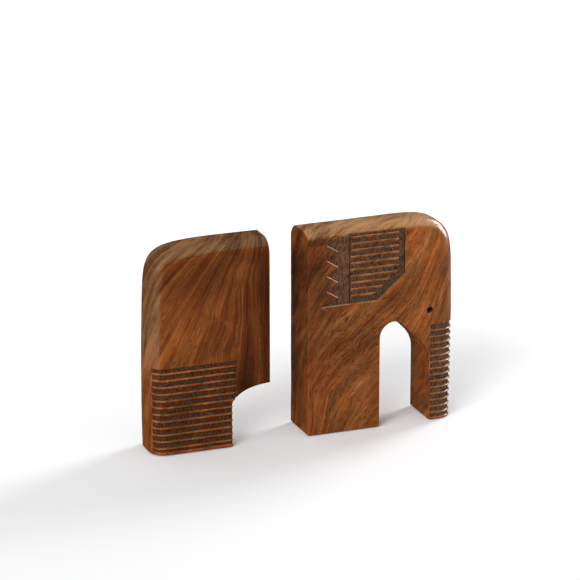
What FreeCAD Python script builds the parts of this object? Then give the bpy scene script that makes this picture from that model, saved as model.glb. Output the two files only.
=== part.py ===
import FreeCAD, Part
import os

from FreeCAD import Vector

os.makedirs("parts", exist_ok=True)

# A pair of carved wooden bookends: an elephant sawn in two, with books standing between the rear
# half and the front half.  X runs from the rump to the trunk, Y across the elephant, Z up.
# All sizes are in millimetres.  While the pieces are drawn, X = 0 is the middle of the gap for the
# books and Z = 0 is the underside of the wood.  At the end everything is moved, so that the origin
# is on the shelf under the middle of the whole pair.

# The two blocks
THICKNESS = 37.5
BOOK_GAP = 31.6
BACK_HEIGHT = 165.8        # top of the back, from the saw cut to the rump
HEAD_HEIGHT = 166.6        # the head is a little higher
REAR_LENGTH = 95.6         # inner face to the rump, at the height of the shoulder below
REAR_SHOULDER = 118.0      # where the rounded rump meets the straighter side
RUMP_BULGE = 1.2           # how far the side bows out lower down
FRONT_LENGTH = 125.1       # inner face to the forehead, at the height of the brow below
BROW_HEIGHT = 128.5        # where the rounded forehead meets the trunk
TRUNK_BULGE = 0.8          # how far the trunk bows out lower down
ROUND_OVER = 12.0          # rounding of the rump, back, forehead and trunk edges

# Belly of the rear half: a quarter ellipse above a straight leg
BELLY_LENGTH = 31.2
BELLY_SPRING = 33.0
BELLY_HEIGHT = 48.8

# Arch of the front half, between the front leg and the trunk
FRONT_LEG_WIDTH = 61.0
ARCH_WIDTH = 42.5
ARCH_HEIGHT = 86.0
ARCH_CROWN_LENGTH = 16.2   # level top of the arch, before its corners are rounded
ARCH_LEG_RADIUS = 12.5
ARCH_CROWN_RADIUS = 8.5
ARCH_CHIN_RADIUS = 24.0

# Bands of carved grooves on the rear leg and on the trunk
GROOVE_DEPTH = 1.2
RIB_WIDTH = 1.3
LOWEST_RIB = 5.0
LEG_BAND_FOOT = 2.0
LEG_BAND_TOP = 70.5
LEG_RIB_PITCH = 5.57
LEG_RIB_COUNT = 12
LEG_BAND_START = 27.4      # inner face to the start of the band
LEG_BAND_WRAP = 7.0        # how far the grooves run round the edge, measured across the thickness
TRUNK_BAND_FOOT = 1.2
TRUNK_BAND_TOP = 79.4
TRUNK_RIB_PITCH = 5.33
TRUNK_RIB_COUNT = 14
TRUNK_BAND_START = 104.5   # inner face to the start of the band

# Sunk ear panel on both sides of the front half: plain behind the teeth, ribbed beyond a step
EAR_FRONT = 97.7           # X of the panel's front side
EAR_TOP = 161.6
EAR_BOTTOM = 105.0
EAR_CORNER_HEIGHT = 125.6  # where the front side turns towards the bottom edge
EAR_BOTTOM_END = 73.8      # X where the slanting side meets the bottom edge
TOOTH_ROOT = 41.5
TOOTH_LENGTH = 10.0
TOOTH_PITCH = 12.5
TOOTH_COUNT = 4
LOWEST_TOOTH_ROOT = 111.3
BOTTOM_TOOTH_TIP = 25.0
EAR_PLAIN_DEPTH = 1.7
EAR_RIBBED_DEPTH = 2.5
EAR_STEP = 51.2            # X where the floor drops to the ribbed part
EAR_RIB_START = 52.4
EAR_RIB_WIDTH = 1.6
EAR_RIB_HEIGHT = 1.5       # above the floor of the ribbed part
EAR_RIB_PITCH = 5.3
EAR_RIB_COUNT = 10
LOWEST_EAR_RIB = 111.0
EAR_RIB_MARGIN = 4.7       # from the rib ends to the front side
EAR_SLANT_MARGIN = 7.9     # from the rib ends to the slanting side, measured along X

# Eyes: a blind hole drilled into each side of the head
EYE_X = 119.5
EYE_HEIGHT = 91.9
EYE_RADIUS = 2.6
EYE_DEPTH = 9.0

# Felt pads glued under the feet
PAD_THICKNESS = 1.0
PAD_INSET = 3.0

CUT_X = BOOK_GAP / 2       # distance of each inner face from the middle of the gap
FACE_Y = THICKNESS / 2
BEYOND = 20.0              # how far a cutter runs past the wood
ARCH_LEG_X = CUT_X + FRONT_LEG_WIDTH
ARCH_TRUNK_X = ARCH_LEG_X + ARCH_WIDTH
PAIR_MIDDLE_X = (FRONT_LENGTH + TRUNK_BULGE - REAR_LENGTH - RUMP_BULGE) / 2


def at(x, z):
    return Vector(x, 0, z)


def line(start, end):
    return Part.LineSegment(start, end).toShape()


def arc(start, middle, end):
    return Part.Arc(start, middle, end).toShape()


def bezier(poles):
    curve = Part.BezierCurve()
    curve.setPoles(poles)
    return curve.toShape()


def slab(edges, thickness):
    """A slab of the given thickness, centred on the XZ plane, inside a closed outline."""
    solid = Part.Face(Part.Wire(edges)).extrude(Vector(0, thickness, 0))
    solid.translate(Vector(0, -thickness / 2, 0))
    return solid


def polygon_slab(corners, thickness):
    closed = corners + corners[:1]
    return slab([line(start, end) for start, end in zip(closed, closed[1:])], thickness)


def box(low_x, high_x, low_z, high_z, thickness):
    """A box centred on the XZ plane."""
    corner = Vector(low_x, -thickness / 2, low_z)
    return Part.makeBox(high_x - low_x, thickness, high_z - low_z, corner)


def middle_of(edge):
    return edge.valueAt((edge.FirstParameter + edge.LastParameter) / 2)


def rounded_over(block, half_thickness, radius):
    """Rounds the long front and back edges, but not those of the saw cut or the underside."""
    edges = []
    for edge in block.Edges:
        middle = middle_of(edge)
        on_a_face = abs(abs(middle.y) - half_thickness) < 0.01
        on_the_cut = abs(abs(middle.x) - CUT_X) < 0.01
        if on_a_face and not on_the_cut and middle.z > 0.01:
            edges.append(edge)
    return block.makeFillet(radius, edges)


def rear_block(sunk=0.0):
    """The rear half before carving.  A sunk block has its side and faces set in by that much."""
    side = -CUT_X - REAR_LENGTH + sunk
    shoulder = at(side, REAR_SHOULDER)
    heel = at(side - 0.7 * RUMP_BULGE, 0)
    cut_foot = at(-CUT_X, 0)
    cut_top = at(-CUT_X, BACK_HEIGHT)
    back_end = at(-41, BACK_HEIGHT)
    back_handle = at(-109, BACK_HEIGHT)
    rump_handle = at(side + 1.2, REAR_SHOULDER + 45)
    edges = [
        line(cut_foot, cut_top),
        line(cut_top, back_end),
        bezier([back_end, back_handle, rump_handle, shoulder]),
        arc(shoulder, at(side - RUMP_BULGE, 0.45 * REAR_SHOULDER), heel),
        line(heel, cut_foot),
    ]
    block = slab(edges, THICKNESS - 2 * sunk)
    return rounded_over(block, FACE_Y - sunk, ROUND_OVER - sunk)


def front_block(sunk=0.0):
    """The front half before carving, sunk in the same way."""
    side = CUT_X + FRONT_LENGTH - sunk
    brow = at(side, BROW_HEIGHT)
    trunk_tip = at(side - 0.6 * TRUNK_BULGE, 0)
    cut_foot = at(CUT_X, 0)
    cut_top = at(CUT_X, BACK_HEIGHT)
    crown = at(98, HEAD_HEIGHT)
    crown_handle = at(136, HEAD_HEIGHT + 0.4)
    brow_handle = at(side - 0.8, BROW_HEIGHT + 29)
    edges = [
        line(cut_foot, cut_top),
        line(cut_top, crown),
        bezier([crown, crown_handle, brow_handle, brow]),
        arc(brow, at(side + TRUNK_BULGE, 0.5 * BROW_HEIGHT), trunk_tip),
        line(trunk_tip, cut_foot),
    ]
    block = slab(edges, THICKNESS - 2 * sunk)
    return rounded_over(block, FACE_Y - sunk, ROUND_OVER - sunk)


def belly_opening():
    """The space under the rear half's belly, behind its leg."""
    spring = at(-CUT_X, BELLY_SPRING)
    leg_side = at(-CUT_X - BELLY_LENGTH, BELLY_SPRING)
    crown = at(-CUT_X, BELLY_HEIGHT)
    oval = Part.Ellipse(leg_side, crown, spring).toShape()
    dome = slab([oval], THICKNESS + BEYOND)
    below = box(leg_side.x, -CUT_X + BEYOND, -BEYOND, BELLY_SPRING, THICKNESS + BEYOND)
    return dome.fuse(below)


def arch_opening():
    """The arch between the front leg and the trunk, with a slanting chin."""
    crown_end_x = ARCH_LEG_X + ARCH_CROWN_LENGTH
    chin_height = ARCH_HEIGHT - (ARCH_TRUNK_X - crown_end_x)
    corners = [
        at(ARCH_LEG_X, -BEYOND),
        at(ARCH_LEG_X, ARCH_HEIGHT),
        at(crown_end_x, ARCH_HEIGHT),
        at(ARCH_TRUNK_X, chin_height),
        at(ARCH_TRUNK_X, -BEYOND),
    ]
    opening = polygon_slab(corners, THICKNESS + BEYOND)
    radii = {1: ARCH_LEG_RADIUS, 2: ARCH_CROWN_RADIUS, 3: ARCH_CHIN_RADIUS}
    for index, radius in radii.items():
        corner = corners[index]
        edges = [edge for edge in opening.Edges if (middle_of(edge) - corner).Length < 0.01]
        opening = opening.makeFillet(radius, edges)
    return opening


def groove_band(low_x, high_x, foot, top, rib_pitch, rib_count):
    """Slots between level ribs, running right through from front to back."""
    band = box(low_x, high_x, foot, top, THICKNESS + BEYOND)
    for index in range(rib_count):
        rib_height = LOWEST_RIB + index * rib_pitch
        rib_low = rib_height - RIB_WIDTH / 2
        band = band.cut(box(low_x, high_x, rib_low, rib_low + RIB_WIDTH, THICKNESS + BEYOND))
    return band


def leg_grooves():
    """Grooves on both faces of the rear leg, running a little way round its outer edges."""
    outside_x = -CUT_X - REAR_LENGTH - BEYOND
    start_x = -CUT_X - LEG_BAND_START
    band = groove_band(
        outside_x, start_x, LEG_BAND_FOOT, LEG_BAND_TOP, LEG_RIB_PITCH, LEG_RIB_COUNT
    )
    uncut_middle = box(outside_x, 0, -BEYOND, BACK_HEIGHT, THICKNESS - 2 * LEG_BAND_WRAP)
    return band.cut(rear_block(GROOVE_DEPTH)).cut(uncut_middle)


def trunk_grooves():
    """Grooves that ring the trunk, except on its side towards the leg."""
    outside_x = CUT_X + FRONT_LENGTH + BEYOND
    start_x = CUT_X + TRUNK_BAND_START
    band = groove_band(
        start_x, outside_x, TRUNK_BAND_FOOT, TRUNK_BAND_TOP, TRUNK_RIB_PITCH, TRUNK_RIB_COUNT
    )
    return band.cut(front_block(GROOVE_DEPTH))


def ear_outline():
    """The ear panel: a slanting front corner, a level bottom edge and a row of pointed teeth."""
    corners = [
        at(EAR_FRONT, EAR_TOP),
        at(EAR_FRONT, EAR_CORNER_HEIGHT),
        at(EAR_BOTTOM_END, EAR_BOTTOM),
        at(BOTTOM_TOOTH_TIP, EAR_BOTTOM),
    ]
    for index in range(TOOTH_COUNT):
        root_height = LOWEST_TOOTH_ROOT + index * TOOTH_PITCH
        corners.append(at(TOOTH_ROOT, root_height))
        corners.append(at(TOOTH_ROOT - TOOTH_LENGTH, root_height + TOOTH_PITCH / 2))
    corners.append(at(TOOTH_ROOT, EAR_TOP))
    return corners


def ear_ribs(thickness):
    """Level ribs that stop short of the panel's front and slanting sides."""
    slope = (EAR_FRONT - EAR_BOTTOM_END) / (EAR_CORNER_HEIGHT - EAR_BOTTOM)
    front_x = EAR_FRONT - EAR_RIB_MARGIN
    slant_foot_x = EAR_BOTTOM_END - EAR_SLANT_MARGIN
    slant_top = EAR_BOTTOM + (front_x - slant_foot_x) / slope
    field = polygon_slab(
        [
            at(EAR_RIB_START, EAR_BOTTOM),
            at(slant_foot_x, EAR_BOTTOM),
            at(front_x, slant_top),
            at(front_x, EAR_TOP + BEYOND),
            at(EAR_RIB_START, EAR_TOP + BEYOND),
        ],
        thickness,
    )
    ribs = []
    for index in range(EAR_RIB_COUNT):
        low_z = LOWEST_EAR_RIB + index * EAR_RIB_PITCH - EAR_RIB_WIDTH / 2
        bar = box(EAR_RIB_START, EAR_FRONT, low_z, low_z + EAR_RIB_WIDTH, thickness)
        ribs.append(bar.common(field))
    return Part.makeCompound(ribs)


def ear_recess():
    """What is carved away for the ear panels on both sides."""
    panel = polygon_slab(ear_outline(), THICKNESS + BEYOND)
    plain_core = box(0, EAR_FRONT, 0, HEAD_HEIGHT, THICKNESS - 2 * EAR_PLAIN_DEPTH)
    ribbed_core = box(0, EAR_FRONT, 0, HEAD_HEIGHT, THICKNESS - 2 * EAR_RIBBED_DEPTH)
    plain_part = panel.cut(plain_core)
    beyond_step = box(EAR_STEP, EAR_FRONT, 0, HEAD_HEIGHT, THICKNESS + BEYOND)
    ribbed_part = panel.common(beyond_step).cut(ribbed_core)
    rib_thickness = THICKNESS - 2 * (EAR_RIBBED_DEPTH - EAR_RIB_HEIGHT)
    return plain_part.fuse(ribbed_part).cut(ear_ribs(rib_thickness))


def eye_hole(side):
    """A blind round hole drilled from one side: +1 or -1."""
    mouth = Vector(EYE_X, side * (FACE_Y + 1), EYE_HEIGHT)
    return Part.makeCylinder(EYE_RADIUS, EYE_DEPTH + 1, mouth, Vector(0, -side, 0))


def rear_half():
    return rear_block().cut(belly_opening()).cut(leg_grooves())


def front_half():
    wood = front_block().cut(arch_opening()).cut(trunk_grooves()).cut(ear_recess())
    for side in (1, -1):
        wood = wood.cut(eye_hole(side))
    return wood


def foot_pad(sunk_block, low_x, high_x):
    """A thin felt pad with the outline of a foot, cut from the lowest slice of a sunk block."""
    slice_box = box(low_x, high_x, 0, PAD_THICKNESS, THICKNESS)
    pad = sunk_block.common(slice_box)
    pad.translate(Vector(0, 0, -PAD_THICKNESS))
    return pad


def all_parts():
    """Every piece by name, as drawn."""
    rear_inset = rear_block(PAD_INSET)
    front_inset = front_block(PAD_INSET)
    rear_leg_x = -CUT_X - BELLY_LENGTH
    return {
        "rear_half": rear_half(),
        "front_half": front_half(),
        "rear_foot_pad": foot_pad(rear_inset, rear_leg_x - REAR_LENGTH, rear_leg_x - PAD_INSET),
        "front_foot_pad": foot_pad(front_inset, CUT_X + PAD_INSET, ARCH_LEG_X - PAD_INSET),
        "trunk_foot_pad": foot_pad(front_inset, ARCH_TRUNK_X + PAD_INSET, ARCH_TRUNK_X + FRONT_LENGTH),
    }


for name, shape in all_parts().items():
    shape.translate(Vector(-PAIR_MIDDLE_X, 0, PAD_THICKNESS))
    solid = shape.Solids[0]
    solid.exportStep("parts/" + name + ".step")
    print(name, "solids", len(shape.Solids), "valid", solid.isValid(), "volume", round(solid.Volume))
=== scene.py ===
import itertools
import math

import bmesh
import bpy
import numpy as np
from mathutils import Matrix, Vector
from mathutils.bvhtree import BVHTree


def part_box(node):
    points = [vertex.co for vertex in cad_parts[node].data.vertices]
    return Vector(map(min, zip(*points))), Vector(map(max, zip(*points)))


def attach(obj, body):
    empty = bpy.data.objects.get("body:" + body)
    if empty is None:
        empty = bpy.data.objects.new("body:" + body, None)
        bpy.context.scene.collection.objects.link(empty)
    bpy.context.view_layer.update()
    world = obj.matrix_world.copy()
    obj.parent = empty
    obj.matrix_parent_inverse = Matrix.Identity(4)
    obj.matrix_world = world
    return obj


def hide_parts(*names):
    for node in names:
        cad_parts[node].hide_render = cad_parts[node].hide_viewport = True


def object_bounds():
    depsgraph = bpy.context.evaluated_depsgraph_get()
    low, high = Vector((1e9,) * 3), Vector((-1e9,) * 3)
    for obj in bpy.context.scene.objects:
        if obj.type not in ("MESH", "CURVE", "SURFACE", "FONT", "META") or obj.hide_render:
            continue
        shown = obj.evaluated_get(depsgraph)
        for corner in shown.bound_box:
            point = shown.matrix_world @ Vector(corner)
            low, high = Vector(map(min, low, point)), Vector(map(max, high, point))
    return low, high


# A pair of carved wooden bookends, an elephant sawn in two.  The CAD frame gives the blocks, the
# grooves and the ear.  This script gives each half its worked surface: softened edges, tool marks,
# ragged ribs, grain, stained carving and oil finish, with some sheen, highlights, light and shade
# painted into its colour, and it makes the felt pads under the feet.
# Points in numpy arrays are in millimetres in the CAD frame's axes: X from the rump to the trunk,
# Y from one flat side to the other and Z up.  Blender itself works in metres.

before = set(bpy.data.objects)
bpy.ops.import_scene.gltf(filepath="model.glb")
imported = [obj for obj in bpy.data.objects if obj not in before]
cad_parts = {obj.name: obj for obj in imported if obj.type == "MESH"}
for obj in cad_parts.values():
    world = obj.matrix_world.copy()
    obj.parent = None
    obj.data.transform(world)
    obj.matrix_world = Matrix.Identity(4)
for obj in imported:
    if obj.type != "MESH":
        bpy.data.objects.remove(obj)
cad_low, cad_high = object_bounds()

MM = 0.001

# Mesh fineness: voxel sizes in millimetres, and the most triangles a finished piece may have
WOOD_VOXEL = 0.36
FELT_VOXEL = 0.3
MOST_WOOD_TRIANGLES = 190000
MOST_FELT_TRIANGLES = 40000

# Softening of the edges, by moving points a share of the way to their neighbours' middle
WOOD_ROUNDS = 7
FELT_ROUNDS = 3
SOFTENING_SHARE = 0.5
CARVING_SPARED = 0.38          # taken off that share inside the carving, which stays crisper

# Worn edges stand proud of the surface that this many rounds of smoothing give.  Wear sets in at
# one height above it and is full at another, in millimetres.
WEAR_ROUNDS = 6
WEAR_START = 0.05
WEAR_RISE = 0.3                # from the start of wear to full wear

# The part's own sizes, in millimetres
PAD_THICKNESS = 1.0
HALF_THICKNESS = 18.75         # from the middle to either flat side

# Where the carving is, in millimetres: "out" is measured from a half's saw cut, "up" from the
# underside of the wood
LEG_BAND_START = 27.4
LEG_BAND_TOP = 70.5
LEG_RUN_OUT_HEIGHT = 46.0      # grooves above this height fade out before they reach the belly
TRUNK_BAND_START = 104.5
TRUNK_BAND_TOP = 79.4
BAND_DEPTH = 1.2
EAR_BACK = 9.0
EAR_STEP = 35.4                # the floor drops here, from the plain part to the ribbed part
EAR_FRONT = 82.5
EAR_BOTTOM = 104.5
EAR_TOP_EDGE = 146.0           # the plain part's upper edge starts here, where the back rounds over
EAR_PLAIN_DEPTH = 1.7
EAR_RIBBED_DEPTH = 2.5
EAR_STRIP = 5.5                # width of the plain strip between the rib ends and the ear's front
EAR_SLANT_START = 50.2         # the slanting line of rib ends leaves the ear's bottom edge here
EYE_OUT = 103.7
EYE_UP = 91.9
EYE_RADIUS = 2.6

# What hand tools do to the wood, and handling to the felt's rim: layers of noise, each with its
# height and its cell size along X, Y and Z, in millimetres
HOLLOWS = ((0.12, (38, 30, 34)), (0.05, (13, 11, 12)))
CHATTER = ((0.10, (0.9, 9, 7)), (0.05, (0.6, 0.6, 2)))
RIB_SWAY = ((0.14, (7, 40, 4)), (0.07, (2.2, 40, 3)))
SWAY_REACH = 3                 # ribs wander only this close to the surface of the block
NICK_CELLS = (2.4, 2.4, 2.4)
NICK_DEPTH = 0.4
NICK_RARITY = 0.8              # nicks only where their noise is above this
FELT_FUZZ = ((0.10, (0.7, 0.7, 0.5)), (0.12, (4, 4, 4)))
FELT_SHRINK = 0.05

# The streaks of the rear half fan out from a point, in the frame's X and Z
REAR_FAN_X = -34.5
REAR_FAN_Z = 216
REAR_FAN_SCALE = 120           # millimetres of grain width for each radian of the fan

# The streaks of the front half rise at this slope over the arch.  They are steeper nearer the saw
# cut than the leg's bend, further out than the head's bend, and in the foot.
FRONT_SLOPE = 0.8
FRONT_LEG_BEND = 30
FRONT_HEAD_BEND = 76
FOOT_FRONT = 62                # out from the saw cut, where the arch begins
FOOT_HEIGHT = 45

# Soft patches on a half's side: height, middle out and up, spread along and across, and turn in
# degrees.  Knots push the grain aside.  Tones above 0 lighten the wood and those below 0 darken it.
FRONT_KNOTS = ((9, 37, 86, 17, 8, 32),
               (8, 38, 44, 14, 9, 40))
REAR_TONES = ((1.0, 58, 90, 32, 32, 0),       # the flank
              (-1.1, 22, 58, 9, 18, 0),       # beside the leg's grooves
              (-0.1, 70, 140, 20, 18, 0))     # the upper rump
FRONT_TONES = ((0.5, 98, 128, 20, 40, 0),     # the head
               (-1.2, 6, 132, 15, 34, 0),     # behind the ear
               (-0.8, 9, 97, 6, 4, 30),       # a fleck under the ear
               (-0.4, 46, 68, 34, 6, 38),     # a streak across the leg
               (-0.55, 8, 12, 16, 30, 0),     # the heel
               (-0.35, 8, 70, 16, 30, 0),     # the back of the leg
               (0.35, 40, 30, 18, 14, 45))    # the front of the leg

# Colours, as linear red, green and blue
VEIN_COLOUR = (0.030, 0.008, 0.002)
PORE_COLOUR = (0.025, 0.007, 0.002)
COOL_TINT = (0.93, 1.02, 0.95)
WARM_TINT = (1.16, 0.98, 0.76)
TORN_FIBRE_COLOUR = (0.17, 0.125, 0.085)
# Painted light, with some dust, on the ear's upward walls
LIT_DUST_COLOUR = (0.62, 0.44, 0.32)
# Brightens worn edges, ribs and a painted highlight line
WEAR_RIBS_AND_HIGHLIGHT_TINT = (2.3, 1.5, 1.0)
# Painted shade, and darkening
SHADE_AND_DARKENING_COLOUR = (0.006, 0.004, 0.003)
LINT_COLOUR = (0.20, 0.16, 0.13)
FLOOR_COLOUR = (0.87, 0.87, 0.872)
WHITE = (1, 1, 1, 1)

# The floor: its radius in metres, and the distances from the middle, in millimetres, between
# which it fades into the background
FLOOR_RADIUS = 9
FLOOR_FADE_START = 1000
FLOOR_FADE_END = 1900

# Strength of the white world, for matt surfaces and for shiny ones.  Shiny ones mirror a dark side
# and a bright side, which begins and is full at two values of direction times BRIGHT_SIDE.
WORLD_MATT = 0.55
WORLD_MIRRORED_DARK = 0.015
WORLD_MIRRORED_BRIGHT = 0.7
BRIGHT_SIDE = (1, 0.35, 0)
BRIGHT_SIDE_START = 0.5
BRIGHT_SIDE_FULL = 1.05

# The camera: what it aims at and its distance, in millimetres, its angles in degrees and its lens
CAMERA_AIM = (-6.55, 0, 117.18)
CAMERA_DISTANCE = 2562.1
CAMERA_AZIMUTH = -21.245
CAMERA_ELEVATION = 18.130
CAMERA_SENSOR = 36
CAMERA_LENS = 203.7
LIGHT_AIM = (0, 0, 0.09)       # what the lamps aim at, in metres


# Numbers and noise

def smoothstep(low, high, value):
    share = np.clip((value - low) / (high - low), 0, 1)
    return share * share * (3 - 2 * share)


def bell(value, middle, spread):
    return np.exp(-((value - middle) / spread) ** 2)


def mound(x, z, middle_x, middle_z, spread_x, spread_z, turn):
    """A smooth bump of height 1 over the XZ plane, turned by an angle in degrees."""
    cos, sin = math.cos(math.radians(turn)), math.sin(math.radians(turn))
    along = (x - middle_x) * cos + (z - middle_z) * sin
    across = (z - middle_z) * cos - (x - middle_x) * sin
    return np.exp(-(along / spread_x) ** 2 - (across / spread_z) ** 2)


def add_patches(start, x, z, patches):
    """The start values plus the patches, each given as its height and the shape of its mound."""
    total = start
    for height, *shape in patches:
        total = total + height * mound(x, z, *shape)
    return total


def noise(points, cells, seed):
    """Smooth noise from -1 to 1, with cells of the given millimetres along X, Y and Z."""
    scaled = points / np.array(cells, float)
    cell = np.floor(scaled).astype(np.int64)
    share = scaled - cell
    share = share * share * (3 - 2 * share)
    total = np.zeros(len(points))
    for corner in itertools.product((0, 1), repeat=3):
        x, y, z = (cell + corner).T
        mixed = (x * 73856093) ^ (y * 19349663) ^ (z * 83492791) ^ (seed * 2654435761)
        mixed = ((mixed ^ (mixed >> 13)) * 1274126177) & 0xFFFFFFFF
        mixed = ((mixed ^ (mixed >> 16)) * 2246822519) & 0xFFFFFFFF
        weight = np.ones(len(points))
        for axis in range(3):
            weight *= share[:, axis] if corner[axis] else 1 - share[:, axis]
        total += weight * (mixed / 2147483647.5 - 1)
    return total


def layered_noise(points, layers, seed):
    """The sum of some layers of noise.  The seed counts up by one for each layer."""
    total = np.zeros(len(points))
    for index, (height, cells) in enumerate(layers):
        total += height * noise(points, cells, seed + index)
    return total


# Meshes

def vertex_points(mesh):
    flat = np.empty(len(mesh.vertices) * 3, np.float32)
    mesh.vertices.foreach_get("co", flat)
    return flat.reshape(-1, 3).astype(float) / MM


def vertex_normals(mesh):
    flat = np.empty(len(mesh.vertices) * 3, np.float32)
    mesh.vertex_normals.foreach_get("vector", flat)
    return flat.reshape(-1, 3).astype(float)


def move_vertices(mesh, points):
    mesh.vertices.foreach_set("co", (points * MM).astype(np.float32).ravel())
    mesh.update()


def store(mesh, name, values):
    """Keeps one number or one vector per vertex, for the materials to read."""
    if values.ndim == 1:
        attribute = mesh.attributes.new(name, "FLOAT", "POINT")
        attribute.data.foreach_set("value", values.astype(np.float32))
    else:
        attribute = mesh.attributes.new(name, "FLOAT_VECTOR", "POINT")
        attribute.data.foreach_set("vector", values.astype(np.float32).ravel())


def apply_modifiers(obj):
    depsgraph = bpy.context.evaluated_depsgraph_get()
    mesh = bpy.data.meshes.new_from_object(obj.evaluated_get(depsgraph), depsgraph=depsgraph)
    obj.modifiers.clear()
    obj.data = mesh


def relaxed(mesh, points, share, rounds):
    """Moves each point a share of the way towards the middle of its neighbours in the mesh, some
    rounds over."""
    ends = np.empty(len(mesh.edges) * 2, np.int32)
    mesh.edges.foreach_get("vertices", ends)
    start, end = ends.reshape(-1, 2).T
    count = len(points)
    neighbours = np.bincount(start, minlength=count) + np.bincount(end, minlength=count)
    for _ in range(rounds):
        middle = np.empty_like(points)
        for axis in range(3):
            total = np.bincount(start, points[end, axis], count)
            total += np.bincount(end, points[start, axis], count)
            middle[:, axis] = total / np.maximum(neighbours, 1)
        points = points + share[:, None] * (middle - points)
    return points


def even_copy(node, name, voxel):
    """A copy of a CAD node as a dense, even mesh."""
    source = bmesh.new()
    source.from_mesh(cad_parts[node].data)
    bmesh.ops.remove_doubles(source, verts=source.verts, dist=1e-7)
    mesh = bpy.data.meshes.new(name)
    source.to_mesh(mesh)
    source.free()
    obj = bpy.data.objects.new(name, mesh)
    bpy.context.scene.collection.objects.link(obj)
    remesh = obj.modifiers.new("even", "REMESH")
    remesh.mode = "VOXEL"
    remesh.voxel_size = voxel * MM
    apply_modifiers(obj)
    return obj


def thin_out(obj, most_triangles):
    """Merges triangles where the surface is flat, down to the given number."""
    triangles = sum(len(face.vertices) - 2 for face in obj.data.polygons)
    if triangles > most_triangles:
        thin = obj.modifiers.new("thin", "DECIMATE")
        thin.ratio = most_triangles / triangles
        apply_modifiers(obj)


def depth_under_hull(node, points):
    """How far each point lies under the convex hull of a CAD node, which is its uncarved block."""
    hull = bmesh.new()
    hull.from_mesh(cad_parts[node].data)
    result = bmesh.ops.convex_hull(hull, input=hull.verts, use_existing_faces=False)
    spare = {item for item in result["geom_interior"] + result["geom_unused"]
             if isinstance(item, bmesh.types.BMVert)}
    bmesh.ops.delete(hull, geom=list(spare), context="VERTS")
    tree = BVHTree.FromBMesh(hull)
    hull.free()
    nearest = tree.find_nearest
    return np.array([nearest(Vector(point))[3] for point in points * MM]) / MM


def clipped_to(node, points):
    """The points, held inside the box of a CAD node."""
    low, high = (np.array(corner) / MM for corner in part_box(node))
    return np.clip(points, low, high)


# Places on the wood.  Each area function gives one share per point, 1 inside the area and 0
# outside it.

def rear_places(points):
    """Distance out from the saw cut and height above the underside, for the rear half."""
    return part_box("rear_half")[1].x / MM - points[:, 0], points[:, 2] - PAD_THICKNESS


def front_places(points):
    """Distance out from the saw cut and height above the underside, for the front half."""
    return points[:, 0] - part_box("front_half")[0].x / MM, points[:, 2] - PAD_THICKNESS


def depth_in_side(points):
    """How far each point lies in from the nearer flat side."""
    return HALF_THICKNESS - np.abs(points[:, 1])


def grooved_band(out, up, start, top):
    """A band round a leg or a trunk, on all sides, from a distance out and below a height."""
    inside = smoothstep(start - 0.5, start + 0.2, out)
    return inside * (1 - smoothstep(top, top + 0.5, up))


def leg_band(points):
    return grooved_band(*rear_places(points), LEG_BAND_START, LEG_BAND_TOP)


def trunk_band(points):
    return grooved_band(*front_places(points), TRUNK_BAND_START, TRUNK_BAND_TOP)


def ear_panel(points):
    out, up = front_places(points)
    beside = depth_in_side(points) < EAR_RIBBED_DEPTH + 0.6
    inside = (out > EAR_BACK) & (out < EAR_FRONT) & (up > EAR_BOTTOM)
    return 1.0 * (beside & inside)


def front_bands(points):
    return np.maximum(trunk_band(points), ear_panel(points))


def carved_floor(depth, floor):
    """The stained floor of a carved area that is this deep, without its walls and ribs."""
    deep_enough = smoothstep(floor - 0.55, floor - 0.2, depth)
    return deep_enough * (1 - smoothstep(floor + 0.4, floor + 0.8, depth))


# How the rear half is worked, stained and worn, and its painted sheen and highlight

def rear_run_out(points, depth):
    """Lifts the inner ends of the upper leg grooves, so that they fade out in a soft slope."""
    out, up = rear_places(points)
    upper = smoothstep(LEG_RUN_OUT_HEIGHT - 16, LEG_RUN_OUT_HEIGHT, up) * (up < LEG_BAND_TOP + 1)
    near_end = 1 - smoothstep(LEG_BAND_START - 0.3, LEG_BAND_START + 2.2, out)
    near_end = near_end * (out > LEG_BAND_START - 1)
    lift = 0.85 * np.clip(depth, 0, BAND_DEPTH) * upper * near_end
    lift = lift * (depth_in_side(points) < BAND_DEPTH + 0.6)
    moved = points.copy()
    moved[:, 1] += np.sign(points[:, 1]) * lift
    return moved


def rear_carving(points, depth):
    return leg_band(points) * carved_floor(depth, BAND_DEPTH)


def rear_groove_end_darkening(points, normals, depth):
    """Darkening over the inner ends of the upper leg grooves, where they are sunk."""
    out, up = rear_places(points)
    end = bell(out, LEG_BAND_START + 0.3, 1.3) * smoothstep(0.02, 0.3, depth)
    return 0.55 * end * (up > LEG_RUN_OUT_HEIGHT - 4) * (up < LEG_BAND_TOP + 1)


def rear_bright_ribs_and_highlight(points, normals, depth):
    """The tops of the leg ribs, made brighter, and a painted highlight line along the top."""
    out, up = rear_places(points)
    ribs = leg_band(points) * (1 - smoothstep(LEG_BAND_TOP - 0.9, LEG_BAND_TOP - 0.3, up))
    ribs = ribs * (1 - smoothstep(0.45, 1.0, depth)) * smoothstep(0.6, 0.8, np.abs(normals[:, 1]))
    inner_end = 1 - smoothstep(LEG_BAND_START + 0.5, LEG_BAND_START + 3, out)
    inner_end = inner_end * (up > LEG_RUN_OUT_HEIGHT - 8)
    # A painted highlight line where the top rounds over into the flat side
    painted_top_highlight = bell(normals[:, 2], 0.36, 0.05)
    return np.maximum(0.75 * ribs * (1 - inner_end), 0.14 * painted_top_highlight)


def rear_wear(points):
    """How much edges catch wear: little along the sheltered upper edge of the leg band."""
    out, up = rear_places(points)
    sheltered = smoothstep(LEG_BAND_TOP - 0.3, LEG_BAND_TOP + 0.3, up)
    sheltered = sheltered * (1 - smoothstep(LEG_BAND_TOP + 8, LEG_BAND_TOP + 12, up))
    return 1 - 0.8 * sheltered * (out > LEG_BAND_START - 2)


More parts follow.
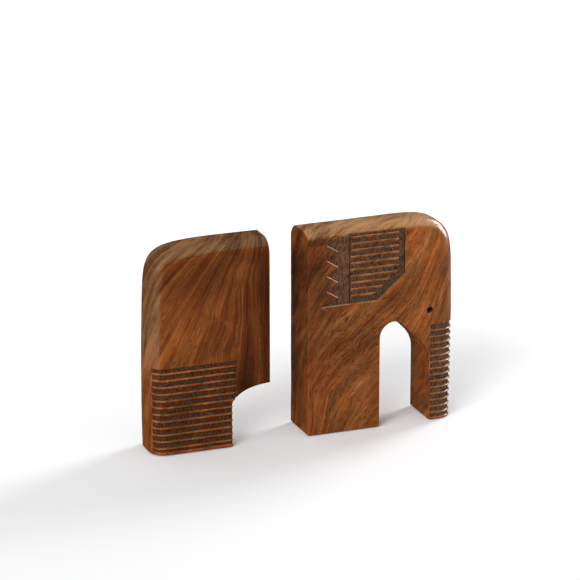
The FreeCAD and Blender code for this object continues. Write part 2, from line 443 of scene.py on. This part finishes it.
def rear_grain(points):
    """Grain coordinates of the rear half, in millimetres: across, thickness, along.  The streaks
    fan out from a point above the cut, so they are steep by the belly and flatter at the rump."""
    x = points[:, 0] + 4 * noise(points, (60, 45, 60), 11) - REAR_FAN_X
    z = points[:, 2] + 4 * noise(points, (60, 45, 60), 12) - REAR_FAN_Z
    across = REAR_FAN_SCALE * np.arctan2(-x, -z)
    along = np.hypot(x, z)
    return np.stack([across + points[:, 1], points[:, 1], along], 1)


def rear_tone(points):
    """Light and dark areas of the rear half, from about -1 to 1."""
    out, up = rear_places(points)
    belly = (1 - smoothstep(4, 46, out)) * (1 - smoothstep(80, 190, up))
    shoulder = (1 - smoothstep(20, 50, out)) * smoothstep(90, 130, up)
    rump = smoothstep(88, 94, out) * (0.25 - 0.7 * smoothstep(60, 110, up))
    return add_patches(rump - 1.05 * belly - 0.5 * shoulder, out, up, REAR_TONES)


def rear_painted_sheen(points, normals):
    """Painted sheen, a greyish tan that stands for reflections: on the top, and on the rounded outer
    side, more of it higher up.
    """
    up = points[:, 2] - PAD_THICKNESS + 8 * noise(points, (12, 12, 40), 51)
    side = smoothstep(0.4, 0.6, -normals[:, 0]) * (0.15 + 0.6 * smoothstep(45, 105, up))
    return np.maximum(0.9 * smoothstep(0.42, 0.62, normals[:, 2]), side)


# How the front half is worked, stained and worn, and its painted sheen, light and shade

def front_carving(points, depth):
    """The stained floors of the front half.  The plain part of the ear takes less stain."""
    out = front_places(points)[0]
    sunk = depth_in_side(points)
    plain = 0.8 * (out < EAR_STEP) * carved_floor(sunk, EAR_PLAIN_DEPTH)
    ribbed = (out >= EAR_STEP) * carved_floor(sunk, EAR_RIBBED_DEPTH)
    ear = ear_panel(points) * smoothstep(0.05, 0.3, depth) * np.maximum(plain, ribbed)
    return np.maximum(trunk_band(points) * carved_floor(depth, BAND_DEPTH), ear)


def eye_painted_shade(points, normals):
    """Painted shade inside the eye holes, with a little painted light on the wall that faces up and
    back.
    """
    out, up = front_places(points)
    sunk = depth_in_side(points)
    from_eye = np.hypot(out - EYE_OUT, up - EYE_UP)
    lit = smoothstep(0.1, 0.8, 0.7 * normals[:, 2] - 0.7 * normals[:, 0]) * (sunk < 3.5)
    inside = (sunk > 0.4) * (1 - smoothstep(EYE_RADIUS, EYE_RADIUS + 0.4, from_eye))
    return inside * (1 - 0.35 * lit)


def ear_painted_shade(points, normals, depth):
    """Painted shade on the ear's front walls, and painted shadow in the strip beside its ribs and
    along its step.
    """
    out, up = front_places(points)
    sunk = depth_in_side(points)
    strip_start = EAR_FRONT - EAR_STRIP
    beyond_step = ear_panel(points) * (out > EAR_STEP + 1) * smoothstep(0.15, 0.4, depth)
    wall = beyond_step * smoothstep(0.3, 0.6, -normals[:, 0]) * (out > EAR_FRONT - 28)
    slant = out - EAR_SLANT_START - (up - EAR_BOTTOM)
    strip = np.maximum(smoothstep(strip_start - 0.3, strip_start + 0.3, out),
                       smoothstep(0, 0.7, slant))
    strip = beyond_step * smoothstep(1.8, 2.1, sunk) * strip
    step = ear_panel(points) * (sunk > 1.5) * bell(out, EAR_STEP, 0.6)
    return np.maximum.reduce([0.85 * wall, 0.1 * strip, 0.75 * step])


def front_shade_and_darkening(points, normals, depth):
    """Painted shade in the eyes and on the ear, and a darkening along the rounding of the back above
    the ear.
    """
    out, up = front_places(points)
    slope = normals[:, 2]
    above = smoothstep(0.05, 0.2, slope) * (1 - smoothstep(0.45, 0.62, slope))
    above = above * smoothstep(140, 150, up) * (1 - smoothstep(EAR_FRONT, EAR_FRONT + 6, out))
    ear = ear_painted_shade(points, normals, depth)
    return np.maximum.reduce([eye_painted_shade(points, normals), ear, 0.45 * above])


def front_lit_dusty_teeth(points, normals, depth):
    """Painted light, with some dust, on the walls of the ear's teeth that face upwards."""
    out, up = front_places(points)
    teeth = ear_panel(points) * (out < EAR_STEP - 1)
    teeth = teeth * (0.3 + 0.7 * smoothstep(EAR_BOTTOM + 1, EAR_BOTTOM + 3, up))
    return teeth * (depth > 0.02) * (depth < 1.35) * smoothstep(0.12, 0.35, normals[:, 2])


def front_wear(points):
    """How much edges catch wear: little along the upper edge of the plain part of the ear."""
    out, up = front_places(points)
    plain_part = (out > EAR_BACK) * (out < EAR_STEP + 1)
    return 1 - 0.95 * plain_part * smoothstep(EAR_TOP_EDGE, EAR_TOP_EDGE + 3, up)


def front_grain(points):
    """Grain coordinates of the front half.  The streaks rise from the foot, lie flatter over the
    arch and turn up again in the head, and swirl round two small knots in the leg."""
    out, up = front_places(points)
    bend_x = 4.5 * noise(points, (45, 45, 45), 21) + 1.3 * noise(points, (12, 14, 12), 23)
    bend_z = 4.5 * noise(points, (45, 45, 45), 22) + 1.3 * noise(points, (12, 14, 12), 24)
    x = out + bend_x
    z = up + bend_z
    rise = FRONT_SLOPE * x - 0.016 * np.minimum(x - FRONT_LEG_BEND, 0) ** 2
    rise = rise + 0.026 * np.maximum(x - FRONT_HEAD_BEND, 0) ** 2
    foot = 0.5 * (x - FOOT_FRONT) * (1 - smoothstep(0, FOOT_HEIGHT, z))
    across = add_patches(z - rise - foot, x, z, FRONT_KNOTS)
    along = x + 0.7 * z
    return np.stack([0.8 * across + points[:, 1], points[:, 1], along], 1)


def front_tone(points):
    """Light and dark areas of the front half, from about -1 to 1."""
    return add_patches(0.2, *front_places(points), FRONT_TONES)


def front_painted_sheen(points, normals):
    """Painted sheen on the top, a greyish tan that stands for its reflection."""
    return smoothstep(0.48, 0.75, normals[:, 2])


# The two halves

def unmarked(points, normals, depth):
    """For a mark that a half doesn't have."""
    return np.zeros(len(points))


# Some of these marks paint in shade, light, a highlight line and sheen
REAR_PLAN = {"band": leg_band, "run_out": rear_run_out, "carving": rear_carving,
             "shade_and_darkening": rear_groove_end_darkening, "lit_and_dusty": unmarked, "bright_ribs_and_highlight": rear_bright_ribs_and_highlight, "wear": rear_wear,
             "grain": rear_grain, "tone": rear_tone, "painted_sheen": rear_painted_sheen}
FRONT_PLAN = {"band": front_bands, "carving": front_carving,
              "shade_and_darkening": front_shade_and_darkening, "lit_and_dusty": front_lit_dusty_teeth, "bright_ribs_and_highlight": unmarked, "wear": front_wear,
              "grain": front_grain, "tone": front_tone, "painted_sheen": front_painted_sheen}


def ragged_ribs(points, in_band, seed):
    """Lets the carved ribs wander up and down a little, as they do when cut by hand."""
    moved = points.copy()
    moved[:, 2] += in_band * layered_noise(points, RIB_SWAY, seed)
    return moved


def worked_surface(points, normals, carved, seed):
    """Moves each point along its normal as hand tools and wear leave a wooden surface."""
    hollows = layered_noise(points, HOLLOWS, seed)
    chatter = carved * layered_noise(points, CHATTER, seed + 2)
    nicks = NICK_DEPTH * np.maximum(noise(points, NICK_CELLS, seed + 4) - NICK_RARITY, 0)
    return points + normals * (hollows + chatter - nicks)[:, None]


def edge_wear(mesh):
    """How far each vertex stands proud of its surroundings, as a share from 0 to 1."""
    points = vertex_points(mesh)
    around = relaxed(mesh, points, np.ones(len(points)), WEAR_ROUNDS)
    height = ((points - around) * vertex_normals(mesh)).sum(1)
    return np.clip((height - WEAR_START) / WEAR_RISE, 0, 1)


def carved_half(node, name, plan, seed):
    """One half of the elephant, ready for its material."""
    obj = even_copy(node, name, WOOD_VOXEL)
    mesh = obj.data

    # Soften the edges and let the grooves run out
    points = vertex_points(mesh)
    share = SOFTENING_SHARE - CARVING_SPARED * plan["band"](points)
    points = relaxed(mesh, points, share, WOOD_ROUNDS)
    depth = depth_under_hull(node, points)
    if "run_out" in plan:
        points = plan["run_out"](points, depth)
        depth = depth_under_hull(node, points)
    move_vertices(mesh, points)

    # Mark the carving while its walls are still clean
    normals = vertex_normals(mesh)
    carved = plan["carving"](points, depth)
    store(mesh, "carved", carved)
    # These marks hold painted shade and darkening, painted light with dust, and a painted highlight
    for mark in ("shade_and_darkening", "lit_and_dusty", "bright_ribs_and_highlight"):
        store(mesh, mark, plan[mark](points, normals, depth))

    # Work the surface with tools, and see which edges catch wear
    points = ragged_ribs(points, plan["band"](points) * (depth < SWAY_REACH), seed)
    points = worked_surface(points, vertex_normals(mesh), carved, seed)
    move_vertices(mesh, clipped_to(node, points))
    store(mesh, "worn", edge_wear(mesh) * plan["wear"](points))

    # What changes slowly over the wood can wait for the thinner mesh
    thin_out(obj, MOST_WOOD_TRIANGLES)
    mesh = obj.data
    points = vertex_points(mesh)
    store(mesh, "grain", plan["grain"](points))
    store(mesh, "tone", plan["tone"](points))
    # Painted sheen on the tops and on the rear's outer side
    store(mesh, "painted_sheen", plan["painted_sheen"](points, vertex_normals(mesh)))
    return obj


def felt_pad(node):
    """A felt pad with rounded, slightly fuzzy edges, pressed flat between the wood and the shelf."""
    obj = even_copy(node, "felt_" + node, FELT_VOXEL)
    mesh = obj.data
    points = vertex_points(mesh)
    points = relaxed(mesh, points, np.full(len(points), SOFTENING_SHARE), FELT_ROUNDS)
    move_vertices(mesh, points)
    normals = vertex_normals(mesh)
    fuzz = layered_noise(points, FELT_FUZZ, seed=31)
    points += normals * (fuzz * (1 - np.abs(normals[:, 2])) - FELT_SHRINK)[:, None]
    move_vertices(mesh, clipped_to(node, points))
    thin_out(obj, MOST_FELT_TRIANGLES)
    return obj


# Materials

class Recipe:
    """Builds the nodes of a material or a world.  Most methods add nodes and return the output
    socket of the last one.  Wherever they take a value, they take a socket or a plain number."""

    def __init__(self, owner):
        owner.use_nodes = True
        self.owner = owner
        self.tree = owner.node_tree

    def node(self, kind, inputs, **settings):
        """Adds a node and returns the node itself."""
        node = self.tree.nodes.new(kind)
        for key, value in settings.items():
            setattr(node, key, value)
        for key, value in inputs.items():
            self.connect(value, node.inputs[key])
        return node

    def connect(self, value, socket):
        if isinstance(value, bpy.types.NodeSocket):
            self.tree.links.new(value, socket)
        else:
            socket.default_value = value

    def finish(self, shader, **inputs):
        """Sets inputs of the tree's own shader, and returns the material or the world.  Underscores
        in the names stand for spaces."""
        for key, value in inputs.items():
            self.connect(value, self.tree.nodes[shader].inputs[key.replace("_", " ")])
        return self.owner

    def attribute(self, name, output="Fac"):
        return self.node("ShaderNodeAttribute", {}, attribute_name=name).outputs[output]

    def vector_math(self, operation, inputs, output=0):
        return self.node("ShaderNodeVectorMath", inputs, operation=operation).outputs[output]

    def place(self):
        """Object-space position, in millimetres."""
        place = self.node("ShaderNodeTexCoord", {}).outputs["Object"]
        return self.vector_math("SCALE", {0: place, "Scale": 1 / MM})

    def noise(self, vector, cells, detail=2.0, roughness=0.5, distortion=0.0):
        """Noise from 0 to 1, with cells of the given size along each axis of the vector."""
        per_cell = tuple(1 / size for size in cells)
        inputs = {"Vector": self.vector_math("MULTIPLY", {0: vector, 1: per_cell}), "Scale": 1.0,
                  "Detail": detail, "Roughness": roughness, "Distortion": distortion}
        return self.node("ShaderNodeTexNoise", inputs).outputs["Fac"]

    def math(self, operation, first, second=0.0, third=0.0, clamp=False):
        inputs = {0: first, 1: second, 2: third}
        return self.node("ShaderNodeMath", inputs, operation=operation, use_clamp=clamp).outputs[0]

    def times(self, first, second):
        return self.math("MULTIPLY", first, second)

    def lessened(self, value, share, weight):
        """The value, less this weight of it where the share is 1."""
        return self.times(value, self.math("MULTIPLY_ADD", share, -weight, 1.0))

    def weighted(self, start, *terms):
        """start plus the sum of (value - middle) * weight."""
        total = start
        for value, middle, weight in terms:
            offset = self.math("SUBTRACT", value, middle)
            total = self.math("ADD", total, self.times(offset, weight))
        return total

    def step(self, value, low, high):
        """Smooth share from 0 to 1 as the value goes from low to high."""
        inputs = {"Value": value, "From Min": low, "From Max": high}
        return self.node("ShaderNodeMapRange", inputs, interpolation_type="SMOOTHSTEP").outputs[0]

    def spread(self, value, low, high):
        """A 0 to 1 value laid out from low to high."""
        inputs = {"Value": value, "To Min": low, "To Max": high}
        return self.node("ShaderNodeMapRange", inputs).outputs[0]

    def ramp(self, value, stops):
        """A colour ramp, with its stops in rising order.  A new ramp has two stops already."""
        ramp = self.node("ShaderNodeValToRGB", {"Fac": value})
        elements = ramp.color_ramp.elements
        for index, (position, colour) in enumerate(stops):
            element = elements[index] if index < 2 else elements.new(position)
            element.position = position
            element.color = (*colour, 1)
        return ramp.outputs["Color"]

    def mix(self, share, first, second, blend="MIX"):
        """Goes from the first colour to the second, or blends the second into the first."""
        node = self.node("ShaderNodeMix", {}, data_type="RGBA", blend_type=blend)
        share_socket, first_socket, second_socket = node.inputs[0], node.inputs[6], node.inputs[7]
        self.connect(share, share_socket)
        for colour, socket in ((first, first_socket), (second, second_socket)):
            self.connect((*colour, 1) if isinstance(colour, tuple) else colour, socket)
        return node.outputs[2]

    def bump(self, height, distance):
        """A normal, tilted by a height whose unit is this many millimetres."""
        inputs = {"Height": height, "Distance": distance * MM, "Strength": 1.0}
        return self.node("ShaderNodeBump", inputs).outputs["Normal"]


def wood_patterns(recipe, reach):
    """The patterns that a wood's colour, gloss and relief share.  Those on the grain coordinates
    follow the streaks, and reach scales how far the long ones run."""
    grain = recipe.attribute("grain", "Vector")
    place = recipe.place()
    vein = recipe.noise(grain, (1.7, 6, 150 * reach), 2, 0.5, 0.4)
    pore = recipe.noise(grain, (0.7, 1, 5), 1)
    hue = recipe.noise(grain, (13, 20, 60), 3, 0.6)
    patch = recipe.noise(place, (6, 6, 6), 3)
    return {"broad": recipe.noise(grain, (8, 18, 150 * reach), 2, 0.5, 0.3),
            "middle": recipe.noise(grain, (2.4, 7, 110 * reach), 3, 0.6, 0.2),
            "fine": recipe.noise(grain, (0.85, 1.3, 18 * reach), 4, 0.75),
            "vein": recipe.step(vein, 0.6, 0.7),
            "pore": recipe.step(pore, 0.57, 0.68),
            "hue": recipe.step(hue, 0.38, 0.62),
            "patch": recipe.step(patch, 0.25, 0.6),
            "cloud": recipe.noise(place, (26, 26, 26)),
            "streak": recipe.noise(place, (0.7, 2, 4), 2, 0.6),
            "speck": recipe.noise(place, (0.6, 0.6, 0.8), 2, 0.6)}


def timber_colour(recipe, patterns, stops, painted_sheen, figure):
    """The uncarved timber: streaks, cooler and warmer areas, veins, pores and painted sheen."""
    value = recipe.weighted(0.5, (patterns["broad"], 0.5, 0.88), (patterns["middle"], 0.5, 0.6),
                            (patterns["fine"], 0.5, 0.95 * figure), (patterns["cloud"], 0.5, 0.3),
                            (recipe.attribute("tone"), 0, 0.25))
    colour = recipe.ramp(value, stops)
    tint = recipe.mix(patterns["hue"], COOL_TINT, WARM_TINT)
    colour = recipe.mix(figure ** 3, colour, tint, "MULTIPLY")
    colour = recipe.mix(recipe.times(patterns["vein"], 0.45), colour, VEIN_COLOUR)
    colour = recipe.mix(recipe.times(patterns["pore"], 0.68 * figure), colour, PORE_COLOUR)
    # Painted sheen: a greyish tan that stands for the reflection on the tops
    sheened = recipe.mix(recipe.step(value, 0.15, 0.85), *painted_sheen)
    return recipe.mix(recipe.times(recipe.attribute("painted_sheen"), 0.7), colour, sheened)


def marked_colour(recipe, patterns, colour, stain):
    """The timber's colour with the marks on it: stain and torn fibres on the carved floors, painted
    light with some dust on the upward walls of the ear's teeth, worn edges and brighter ribs with a
    painted highlight line, and painted shade and darkening."""
    floor_colour = recipe.mix(recipe.step(patterns["streak"], 0.38, 0.66), *stain)
    torn = recipe.times(recipe.step(patterns["speck"], 0.52, 0.66), 0.4)
    floor_colour = recipe.mix(torn, floor_colour, TORN_FIBRE_COLOUR)
    colour = recipe.mix(recipe.times(recipe.attribute("carved"), 0.88), colour, floor_colour)
    # Painted light, with some dust, on the upward walls of the ear's teeth
    colour = recipe.mix(recipe.times(recipe.attribute("lit_and_dusty"), 0.85), colour, LIT_DUST_COLOUR)
    worn = recipe.times(recipe.times(recipe.attribute("worn"), patterns["patch"]), 0.8)
    # Worn edges, and the rear's brighter ribs with a painted highlight line
    wear_ribs_and_highlight = recipe.math("MAXIMUM", worn, recipe.attribute("bright_ribs_and_highlight"))
    brighter = recipe.mix(1.0, colour, WEAR_RIBS_AND_HIGHLIGHT_TINT, "MULTIPLY")
    colour = recipe.mix(wear_ribs_and_highlight, colour, brighter)
    # Painted shade in the eyes and ear, and darkening elsewhere
    return recipe.mix(recipe.times(recipe.attribute("shade_and_darkening"), 0.93), colour, SHADE_AND_DARKENING_COLOUR)


def wood_relief(recipe, patterns, carved):
    """Height of the fibres and pores, and of the tool marks in the carving."""
    fibres = recipe.weighted(0.0, (patterns["fine"], 0.5, 0.7), (patterns["pore"], 0, -0.6),
                             (patterns["middle"], 0.5, 0.4))
    cuts = recipe.weighted(0.0, (patterns["streak"], 0.5, 2.0), (patterns["speck"], 0.5, 1.6))
    return recipe.math("ADD", fibres, recipe.times(carved, cuts))


def wood(name, stops, stain, painted_sheen, coat, dull_from, reach, figure):
    """Oiled rosewood-like timber with streaked grain, dark pores and stained carving.  Stops are
    its colours from dark to light, and stain and painted sheen have a dark and a light colour each.
    Coat is the weight of the oil finish, which goes dull at glancing angles from dull_from on.
    Reach scales how far the streaks run, and figure how strongly the fine fibres and pores show."""
    recipe = Recipe(bpy.data.materials.new(name))
    patterns = wood_patterns(recipe, reach)
    carved = recipe.attribute("carved")
    colour = timber_colour(recipe, patterns, stops, painted_sheen, figure)
    colour = marked_colour(recipe, patterns, colour, stain)

    roughness = recipe.weighted(0.42, (patterns["fine"], 0.5, 0.25), (patterns["pore"], 0, 0.15),
                                (patterns["cloud"], 0.5, 0.2))
    roughness = recipe.math("ADD", roughness, recipe.times(carved, 0.3), clamp=True)
    glancing = recipe.node("ShaderNodeLayerWeight", {"Blend": 0.5}).outputs["Facing"]
    dull = recipe.step(glancing, dull_from, dull_from + 0.25)
    oil = recipe.lessened(recipe.lessened(coat, carved, 0.8), dull, 0.97)
    shine = recipe.math("MULTIPLY_ADD", dull, -0.05, 0.05)

    relief = wood_relief(recipe, patterns, carved)
    return recipe.finish("Principled BSDF", Base_Color=colour, Roughness=roughness,
                         Normal=recipe.bump(relief, 0.08), Specular_IOR_Level=shine,
                         Coat_Weight=oil, Coat_Roughness=0.22,
                         Coat_Normal=recipe.bump(relief, 0.03))


def rear_wood():
    stops = ((0.0, (0.024, 0.006, 0.001)), (0.25, (0.060, 0.014, 0.002)),
             (0.5, (0.125, 0.033, 0.0055)), (0.75, (0.225, 0.063, 0.011)),
             (1.0, (0.36, 0.115, 0.022)))
    return wood("rear_rosewood", stops,
                stain=((0.015, 0.0065, 0.002), (0.055, 0.026, 0.010)),
                # The painted sheen colours stand for the reflection on the tops
                painted_sheen=((0.070, 0.037, 0.016), (0.285, 0.163, 0.077)),
                coat=0.42, dull_from=0.35, reach=1.0, figure=0.72)


def front_wood():
    stops = ((0.0, (0.030, 0.009, 0.003)), (0.25, (0.078, 0.022, 0.005)),
             (0.5, (0.155, 0.047, 0.011)), (0.75, (0.255, 0.083, 0.020)),
             (1.0, (0.42, 0.16, 0.05)))
    return wood("front_rosewood", stops,
                stain=((0.020, 0.011, 0.007), (0.115, 0.069, 0.044)),
                # The painted sheen colours stand for the reflection on the tops
                painted_sheen=((0.135, 0.054, 0.018), (0.49, 0.277, 0.128)),
                coat=0.6, dull_from=0.55, reach=0.4, figure=1.0)


def felt():
    """Dark brown wool felt: matted fibres, a little lint and a soft nap."""
    recipe = Recipe(bpy.data.materials.new("brown_felt"))
    place = recipe.place()
    fibre = recipe.noise(place, (0.25, 0.25, 0.12), 4, 0.7, 1.5)
    clump = recipe.noise(place, (3.5, 3.5, 3.5), 3, 0.6)
    lint = recipe.step(recipe.noise(place, (0.8, 0.15, 0.3), 2, 0.5, 2.0), 0.66, 0.74)
    value = recipe.weighted(0.5, (fibre, 0.5, 1.2), (clump, 0.5, 0.6))
    colour = recipe.ramp(value, ((0.1, (0.018, 0.012, 0.009)), (0.9, (0.085, 0.058, 0.042))))
    colour = recipe.mix(recipe.times(lint, 0.5), colour, LINT_COLOUR)
    relief = recipe.weighted(0.0, (fibre, 0.5, 1.0), (clump, 0.5, 1.0))
    return recipe.finish("Principled BSDF", Base_Color=colour,
                         Roughness=recipe.spread(fibre, 0.85, 1.0),
                         Normal=recipe.bump(relief, 0.15), Specular_IOR_Level=0.1,
                         Sheen_Weight=0.4, Sheen_Roughness=0.5)


def hand_over(obj, material, node, body):
    """Gives a finished piece its material, hangs it on its body's empty and hides the CAD node
    that it replaces.
    """
    obj.data.shade_smooth()
    obj.data.materials.append(material)
    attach(obj, body)
    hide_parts(node)


def build_pair():
    rear = carved_half("rear_half", "wood_rear_half", REAR_PLAN, seed=41)
    hand_over(rear, rear_wood(), "rear_half", "rear_bookend")
    front = carved_half("front_half", "wood_front_half", FRONT_PLAN, seed=61)
    hand_over(front, front_wood(), "front_half", "front_bookend")
    felt_material = felt()
    for node, body in (("rear_foot_pad", "rear_bookend"),
                       ("front_foot_pad", "front_bookend"),
                       ("trunk_foot_pad", "front_bookend")):
        hand_over(felt_pad(node), felt_material, node, body)


# Floor, light and camera

def floor():
    """A large pale disc that melts into the white background with distance, as the camera sees it.
    Shiny surfaces don't mirror it, so the wood keeps its depth of colour."""
    recipe = Recipe(bpy.data.materials.new("pale_floor"))
    distance = recipe.vector_math("LENGTH", {0: recipe.place()}, "Value")
    seen = recipe.node("ShaderNodeLightPath", {}).outputs["Is Camera Ray"]
    far = recipe.times(seen, recipe.step(distance, FLOOR_FADE_START, FLOOR_FADE_END))
    colour = recipe.mix(far, FLOOR_COLOUR, (0.0, 0.0, 0.0))
    material = recipe.finish("Principled BSDF", Base_Color=colour, Roughness=0.9,
                             Specular_IOR_Level=0.0, Emission_Color=WHITE, Emission_Strength=far)
    mesh = bpy.data.meshes.new("floor")
    disc = bmesh.new()
    bmesh.ops.create_circle(disc, cap_ends=True, segments=96, radius=FLOOR_RADIUS)
    disc.to_mesh(mesh)
    disc.free()
    mesh.materials.append(material)
    obj = bpy.data.objects.new("floor", mesh)
    obj.location.z = cad_low.z
    obj.visible_glossy = False
    bpy.context.scene.collection.objects.link(obj)


def link_aimed(obj, place, target):
    """Puts a lamp or the camera into the scene at a place, looking at a target."""
    obj.location = place
    obj.rotation_euler = (Vector(target) - Vector(place)).to_track_quat("-Z", "Y").to_euler()
    bpy.context.scene.collection.objects.link(obj)


def softbox(name, place, width, height, watts, mirrored=True, lights_matt=True):
    """A rectangular lamp.  Shiny surfaces mirror it and it lights matt ones, unless told not to."""
    light = bpy.data.lights.new(name, "AREA")
    light.shape = "RECTANGLE"
    light.size = width
    light.size_y = height
    light.energy = watts
    obj = bpy.data.objects.new(name, light)
    obj.visible_glossy = mirrored
    obj.visible_diffuse = lights_matt
    link_aimed(obj, place, LIGHT_AIM)


def soft_sun():
    """Broad light from the front left, which shiny surfaces don't mirror."""
    sun = bpy.data.lights.new("front_left", "SUN")
    sun.energy = 2.5
    sun.angle = math.radians(35)
    obj = bpy.data.objects.new("front_left", sun)
    obj.visible_glossy = False
    link_aimed(obj, (-1.5, -1.3, 1.1), LIGHT_AIM)


def white_world():
    """White all round.  The camera sees it at full strength, and matt surfaces get less.  Shiny
    ones mirror hardly any of it but a bright side on the right, so that the colour of the wood
    stays deep."""
    recipe = Recipe(bpy.data.worlds.new("studio"))
    ray = recipe.node("ShaderNodeLightPath", {}).outputs
    direction = recipe.node("ShaderNodeTexCoord", {}).outputs["Generated"]
    turned = recipe.vector_math("DOT_PRODUCT", {0: direction, 1: BRIGHT_SIDE}, "Value")
    inputs = {"Value": turned, "From Min": BRIGHT_SIDE_START, "From Max": BRIGHT_SIDE_FULL,
              "To Min": WORLD_MIRRORED_DARK, "To Max": WORLD_MIRRORED_BRIGHT}
    mirrored = recipe.node("ShaderNodeMapRange", inputs).outputs[0]
    on_surfaces = recipe.spread(ray["Is Glossy Ray"], WORLD_MATT, mirrored)
    strength = recipe.spread(ray["Is Camera Ray"], on_surfaces, 1.0)
    world = recipe.finish("Background", Color=WHITE, Strength=strength)
    world.cycles.sampling_method = "NONE"
    bpy.context.scene.world = world


def studio():
    """A white world, a key lamp on the right and behind, a panel on the right that only shows as a
    reflection, a low fill on the left and a soft sun from the front left."""
    white_world()
    softbox("key_right_behind", (1.40, 0.65, 0.95), width=0.55, height=0.55, watts=18)
    softbox("right", (1.55, 0.05, 0.55), width=0.5, height=0.8, watts=44, lights_matt=False)
    softbox("left", (-1.8, -0.2, 0.6), width=1.2, height=1.2, watts=5, mirrored=False)
    soft_sun()


def camera():
    """The camera looks down at the pair from the front left, with a long lens."""
    aim = Vector(CAMERA_AIM) * MM
    azimuth = math.radians(CAMERA_AZIMUTH)
    elevation = math.radians(CAMERA_ELEVATION)
    back = Vector((math.sin(azimuth) * math.cos(elevation),
                   -math.cos(azimuth) * math.cos(elevation), math.sin(elevation)))
    lens = bpy.data.cameras.new("camera")
    lens.sensor_width = CAMERA_SENSOR
    lens.lens = CAMERA_LENS
    obj = bpy.data.objects.new("camera", lens)
    link_aimed(obj, aim + back * CAMERA_DISTANCE * MM, aim)
    bpy.context.scene.camera = obj


build_pair()
floor()
studio()
camera()
bpy.context.scene.view_settings.view_transform = "Standard"
